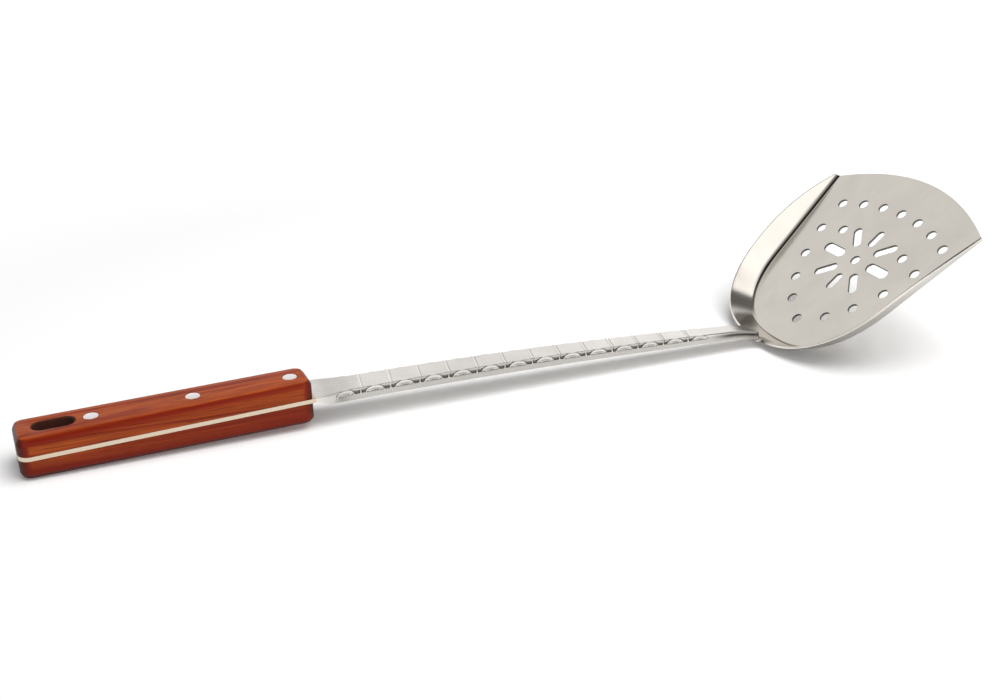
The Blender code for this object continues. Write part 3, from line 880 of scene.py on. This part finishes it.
def make_blade(middle, metal, punched):
    """The pressed and perforated sheet; returns its place before the turner is centred."""
    vertices, faces = blade_shape()
    placed = blade_matrix(vertices)
    place = middle @ placed
    blade = add_piece("blade_sheet", vertices, faces, metal, place)
    # painted shade at the joint, in the folds and on the outer face
    paint(blade, "painted_shade", joint_painted_shade(vertices, placed))
    carve(blade, drain_cutters(), place, punched)
    blade.data.set_sharp_from_angle(angle=math.radians(blade_crease))
    blade.modifiers.new("flat_floor", "WEIGHTED_NORMAL").keep_sharp = True
    settle(blade, "brushed_stainless", "blade")
    return placed


# Shank

def tongue_end(blade_placed):
    """Top of the strip's end, whose turned-down edges stand on the inside of the blade's rear wall."""
    heel = -floor_waist - heel_length
    foot = blade_placed @ Vector((heel, 0.0, 0.0))
    rim = blade_placed @ Vector((heel - wall_height * math.tan(wall_flare), 0.0, wall_height))
    wall = blend(rim.z, foot.z, tongue_lap / (foot.x - rim.x))
    clear = (fit_gap + neck_depth) * math.hypot(1.0, tongue_slope_share)
    return Vector((rim.x + tongue_lap, 0.0, wall + clear))


def shank_line(distance, front, end):
    """Height and slope of the strip's top at a distance along X: a shallow arch, then the bend to its tip."""
    bend = end.x - tongue_bend_length
    span = bend - front.x
    bend_height = end.z + tongue_drop
    chord = (bend_height - front.z) / span
    rise = 4.0 * strip_crown
    if distance <= bend:
        share = (distance - front.x) / span
        return (blend(front.z, bend_height, share) + rise * share * (1.0 - share),
                chord + rise * (1.0 - 2.0 * share) / span)
    share = (distance - bend) / tongue_bend_length
    leave, arrive = (chord - rise / span) * tongue_bend_length, tongue_slope_share * tongue_bend_length
    cube = 2.0 * tongue_drop + leave + arrive
    square = 3.0 * tongue_drop + 2.0 * leave + arrive
    return (bend_height + leave * share - square * share ** 2 + cube * share ** 3,
            (leave - 2.0 * square * share + 3.0 * cube * share ** 2) / tongue_bend_length)


def half_section(top_half, run, depth, radius):
    """Half of the strip's section, from the middle of its top round to the middle of its underside.

    Returns its points, their outward directions, how far each is past the shoulder, and the flank's length.
    """
    corner = np.array((top_half, 0.0))
    foot = np.array((top_half + run, -depth))
    length = np.linalg.norm(foot - corner)
    flank = (foot - corner) / length
    radius = min(radius, length * shoulder_most_share, top_half * top_most_share)
    inner = np.array((foot[0] - strip_edge_width, -depth))
    roof = np.array((inner[0] - strip_hollow_flare, -strip_thickness))
    before_shoulder = corner - (radius, 0.0)
    after_shoulder = corner + flank * radius
    before_lip = foot - flank * lip_radius
    after_lip = foot - (lip_radius, 0.0)
    points = [before_shoulder * share for share in np.linspace(0.0, 1.0, top_steps + 1)[:-1]]
    points += rounded_corner(before_shoulder, corner, after_shoulder, shoulder_steps)
    points += steps_to(after_shoulder, before_lip, flank_steps + 1)[:-1]
    outer = len(points)
    points += rounded_corner(before_lip, foot, after_lip, edge_steps)
    points += steps_to(after_lip, inner, lip_steps) + steps_to(inner, roof, lip_steps)
    points += steps_to(roof, np.array((0.0, -strip_thickness)), hollow_steps)
    points = np.array(points)
    ahead = np.gradient(points, axis=0)
    normals = np.column_stack([-ahead[:, 1], ahead[:, 0]])
    normals /= np.linalg.norm(normals, axis=1)[:, None]
    past = np.where(np.arange(len(points)) <= top_steps, points[:, 0] - top_half, (points - corner) @ flank)
    past[outer:] = 2.0 * length
    return points, normals, past, length


def relief(distance, past, length, ridges, arches):
    """Height of the stamped ornament over one section of the strip, and the painted shade in its pits,
    grooves, dishes and outlines.
    """
    band = band_share * length
    down = past / band
    ahead = distance - arches[np.abs(distance - arches).argmin()]
    off_ridge = distance - ridges[np.abs(distance - ridges).argmin()]
    on_flank = (down > 0.0) & (down < 1.0)
    arch_share = np.hypot(ahead / arch_half_length, 1.0 - down)
    inside = smooth(1.0 - arch_share, -arch_edge_share / 2.0, arch_edge_share)
    ring = bell(arch_share, arch_ring_centre_share, arch_ring_share) * (down < 1.0)
    dish = np.clip(1.0 - (ahead / (dish_length_share * arch_half_length)) ** 2
                   - ((down - dish_centre_share) / dish_height_share) ** 2, 0.0, 1.0)
    near_ridge = abs(off_ridge) < ridge_pitch / 2.0
    pit = smooth(down, 0.0, pit_slope_share) * (1.0 - smooth(down, pit_end_share, 1.0 - pit_end_share))
    off_foot = 1.0 - bell(off_ridge, 0.0, ridge_foot_reach, power=4)
    pit = pit * on_flank * (1.0 - inside) * off_foot * near_ridge
    ridge = bell(off_ridge, 0.0, ridge_reach) * (1.0 - smooth(down, ridge_end_share, ridge_fade_share))
    groove = bell(off_ridge, groove_offset, groove_reach) * (1.0 - smooth(past, 0.0, shoulder_radius))
    height = (ring * arch_ring_height - dish * dish_depth - pit * pit_depth + ridge * ridge_height
              - groove * groove_depth)
    base = bell(down, base_centre_share, base_share)
    base = base * smooth(1.0 - abs(ahead) / arch_half_length, 0.0, base_fade_share)
    outline = bell(arch_share, outline_centre_share, outline_share) * on_flank
    # painted shade in the pits, grooves and dishes, along the band's base and round the arches
    painted_shade = (pit_shade * pit + groove_shade * groove + base_shade * base + dish_shade * dish
             + outline_shade * outline)
    return height, np.clip(painted_shade, 0.0, most_shade)


def shank_loop(centre, tangent, normal, points, skew):
    """Both halves of a section as one closed loop in the turner's frame."""
    whole = np.vstack([points, points[-2:0:-1] * (-1.0, 1.0)])
    sideways = np.array(tangent) * skew + (0.0, 1.0, 0.0)
    return np.array(centre) + sideways * whole[:, :1] + np.array(normal) * whole[:, 1:]


def tang_loops(butt, axis, upright):
    """Loops of the tang's rounded butt end, which the handle's outline covers."""
    loops = []
    for turn in quarter_turn(corner_steps):
        along = handle_corner_radius * (1.0 - math.cos(turn))
        half = handle_half_width(along) - handle_corner_radius * (1.0 - math.sin(turn))
        points = half_section(half, 0.0, strip_thickness, tang_edge_radius)[0]
        loops.append(shank_loop(butt + axis * along, axis, upright, points, 0.0))
    return loops


def strip_section(distance, front, end, ridges, arches):
    """Half a section of the strip with its relief, the painted shade of both halves, and the slant there."""
    share = (distance - front.x) / (end.x - front.x)
    lead = smooth(distance, front.x, channel_lead_in)
    edge_lead = smooth(distance, front.x, edge_lead_in)
    past_tip = max(distance - (end.x - tongue_corner_radius), 0.0)
    tip_inset = tongue_corner_radius - math.sqrt(max(tongue_corner_radius ** 2 - past_tip ** 2, 0.0))
    channel_half = blend(channel_top_width, neck_top_width, share) / 2.0 - tip_inset
    top_half = blend(handle_half_width(handle_length), channel_half, lead)
    neck = share ** neck_depth_power
    depth = blend(strip_thickness, blend(strip_depth, neck_depth, neck), edge_lead)
    radius = blend(blend(tang_edge_radius, shoulder_radius, edge_lead), neck_shoulder_radius, neck)
    points, normals, past, length = half_section(top_half, shoulder_run * lead, depth, radius)
    height, painted_shade = relief(distance, past, length, ridges, arches)
    near_end = smooth(distance, end.x - neck_shade_reach, neck_shade_reach / 2.0)
    on_neck = near_end * bell(past / length, neck_shade_centre_share, neck_shade_share)
    near_handle = 1.0 - smooth(distance, front.x, handle_shade_reach)
    painted_shade = np.maximum(np.maximum(painted_shade, neck_shade * on_neck), handle_shade * near_handle) * edge_lead
    skew = ridge_skew_share * lead * smooth(end.x - distance, 0.0, channel_lead_in)
    return points + normals * (height * lead)[:, None], np.concatenate([painted_shade, painted_shade[-2:0:-1]]), skew


def make_shank(middle, handle_matrix, blade_placed, metal):
    """The strip from the butt of its tang to its tip on the blade's wall; returns the top of that tip."""
    butt = handle_matrix @ Vector((0.0, 0.0, tang_half))
    front = handle_matrix @ Vector((handle_length, 0.0, tang_half))
    end = tongue_end(blade_placed)
    axis = (front - butt).normalized()
    upright = Vector((-axis.z, 0.0, axis.x))
    ridges = front.x + ridge_lead + ridge_pitch * np.arange(ridge_count)
    arches = np.append(ridges - ridge_pitch / 2.0, ridges[-1] + ridge_pitch / 2.0) + arch_shift
    loops = tang_loops(butt, axis, upright)
    size = len(loops[0])
    loop_shades, raw = [np.zeros(size)] * len(loops), [np.ones(size)] * len(loops)
    stations = list(np.arange(front.x, end.x - tongue_corner_radius, station_spacing))
    stations += [end.x - tongue_corner_radius * (1.0 - math.sin(turn)) for turn in quarter_turn(tip_steps)]
    for distance in stations:
        points, painted_shade, skew = strip_section(distance, front, end, ridges, arches)
        level, slope = shank_line(distance, front, end)
        tangent = Vector((1.0, 0.0, slope)).normalized()
        normal = upright if distance == front.x else Vector((-tangent.z, 0.0, tangent.x))
        loops.append(shank_loop(Vector((distance, 0.0, level)), tangent, normal, points, skew))
        loop_shades.append(painted_shade)
        raw.append(np.full(size, 1.0 - smooth(distance, front.x, raw_edge_fade)))
    shank = add_piece("strip_shank", *loft(loops), metal, middle, strip_crease)
    # painted shade in the stamped forms, towards the neck and beside the handle
    paint(shank, "painted_shade", np.concatenate(loop_shades))
    paint(shank, "raw_edge", np.concatenate(raw))
    rings = [(0.0, -cut_overrun), (0.0, cut_overrun)]
    carve(shank, slot_cutter(rings, *hanging_slot), middle @ handle_matrix, metal)
    settle(shank, "stamped_stainless", "shank")
    return end


def make_weld(name, middle, centre, metal):
    """A bead of weld metal: a lumpy ellipsoid along the strip's edge."""
    angles = 2.0 * math.pi * np.arange(weld_steps) / weld_steps
    loops = []
    for step in range(1, weld_steps):
        turn = math.pi * step / weld_steps
        girth = math.sin(turn) * (1.0 + weld_lump_share * math.sin(turn * weld_lumps))
        loops.append(np.column_stack([np.full(weld_steps, centre.x - math.cos(turn) * weld_reach[0]),
                                      centre.y + girth * weld_reach[1] * np.cos(angles),
                                      centre.z + girth * weld_reach[2] * np.sin(angles)]))
    settle(add_piece(name, *loft(loops), metal, middle, weld_crease), "stamped_stainless")


# Studio

def make_floor():
    """White floor that keeps the turner's shadow; the camera and gloss see it a little brighter."""
    nodes = new_material("studio_floor")
    nodes.tree.nodes.clear()
    diffuse = nodes.add("BsdfDiffuse",
                        Color=nodes.mix(nodes.noise(nodes.place(), 3.0, 2.0, 0.5), *floor_colours))
    away = nodes.add("VectorMath", {"operation": "LENGTH"}, _0=nodes.place())
    level = nodes.range(away.outputs["Value"], *glow_run, *glow_levels)
    seen = nodes.rays("Camera", "Glossy", "Transmission")
    glow = nodes.add("Emission", Color=white, Strength=nodes.math("MULTIPLY", seen, level))
    both = nodes.add("AddShader", _0=diffuse.outputs[0], _1=glow.outputs[0])
    nodes.add("OutputMaterial", Surface=both.outputs[0])
    corners = [(x * floor_half, y * floor_half, 0.0) for x, y in ((-1, -1), (1, -1), (1, 1), (-1, 1))]
    floor = add_piece("studio_floor", corners, [(0, 1, 2, 3)], nodes.owner)


def make_world():
    """A white surround with a dim ceiling, which gloss shows; the camera sees plain white."""
    world = bpy.data.worlds.new("studio")
    bpy.context.scene.world = world
    nodes = Nodes(world)
    nodes.tree.nodes.clear()
    direction = nodes.add("SeparateXYZ", _0=nodes.add("TexCoord").outputs["Generated"])
    height = direction.outputs["Z"]
    across = nodes.range(direction.outputs["Y"], -1.0, 1.0)
    colour = nodes.mix(nodes.ramp(across, to_over), nodes.ramp(height, near_levels),
                       nodes.ramp(height, over_levels))
    colour = nodes.mix(nodes.ramp(across, to_far), colour, nodes.ramp(height, far_levels))
    surround = nodes.add("Background", Color=colour, Strength=surround_strength)
    fill = nodes.add("Background", Color=white, Strength=fill_strength)
    plain = nodes.add("Background", Color=white)
    gloss = nodes.rays("Glossy", "Transmission")
    lit = nodes.add("MixShader", _0=gloss, _1=fill.outputs[0], _2=surround.outputs[0])
    camera = nodes.rays("Camera")
    seen = nodes.add("MixShader", _0=camera, _1=lit.outputs[0], _2=plain.outputs[0])
    nodes.add("OutputWorld", Surface=seen.outputs[0])


def make_lamp(name, place, size, power):
    """A soft square lamp that points at the middle of the turner."""
    data = bpy.data.lights.new(name, "AREA")
    data.size = size
    data.energy = power
    lamp = add_object(name, data)
    lamp.location = place
    lamp.rotation_euler = (-Vector(place)).to_track_quat("-Z", "Y").to_euler()
    lamp.visible_glossy = False


def make_camera():
    data = bpy.data.cameras.new("photo_camera")
    data.sensor_width = camera_film
    data.lens = camera_lens
    camera = add_object("photo_camera", data)
    dipped = Matrix.Rotation(math.pi / 2.0 - camera_dip, 4, "X") @ Matrix.Rotation(camera_roll, 4, "Z")
    turned_right = Matrix.Rotation(-camera_turn, 4, "Z")
    camera.matrix_world = Matrix.Translation(camera_place) @ turned_right @ dipped
    bpy.context.scene.camera = camera


def main():
    blade_steel = steel("brushed_stainless", blade_colour, blade_roughness, blade_tilt)
    strip_steel = steel("stamped_stainless", strip_colour, strip_roughness, 0.0, hatch=True)
    wood = varnished_wood()
    inner_wood = bare_wood()
    rivets = rivet_metal()
    welds = weld_metal()

    lean = Matrix.Rotation(-handle_pitch, 4, "Y")
    lowest = lean @ Vector((end_chamfer, 0.0, -lower_face(end_chamfer)))
    handle_matrix = Matrix.Translation((0.0, 0.0, -lowest.z)) @ lean
    butt_reach = handle_matrix @ Vector((0.0, 0.0, upper_face(0.0) - butt_chamfer))
    middle = Matrix.Translation((-(overall_length + butt_reach.x) / 2.0, -blade_offset, 0.0))
    place = middle @ handle_matrix

    make_scale("scale_top", "upper_scale", 1.0, upper_face, place, wood, inner_wood)
    make_scale("scale_bottom", "lower_scale", -1.0, lower_face, place, wood, inner_wood)
    for name, along in zip(rivet_names, rivet_places()):
        make_rivet_head("rivet_head_" + name, "rivet_cap_" + name, 1.0, upper_face, along, place, rivets)
        make_rivet_head("rivet_foot_" + name, "rivet_body_" + name, -1.0, lower_face, along, place, rivets)
    blade_placed = make_blade(middle, blade_steel, punched_edge())
    end = make_shank(middle, handle_matrix, blade_placed, strip_steel)
    neck_foot = neck_top_width / 2.0 + shoulder_run
    for name, side in (("weld_far", 1.0), ("weld_near", -1.0)):
        make_weld(name, middle, end + Vector((-weld_back, side * neck_foot, -neck_depth)), welds)
    make_floor()
    make_world()
    for name, (lamp_place, size, power) in lamps.items():
        make_lamp(name, lamp_place, size, power)
    make_camera()
    bpy.context.scene.view_settings.view_transform = "Standard"


main()
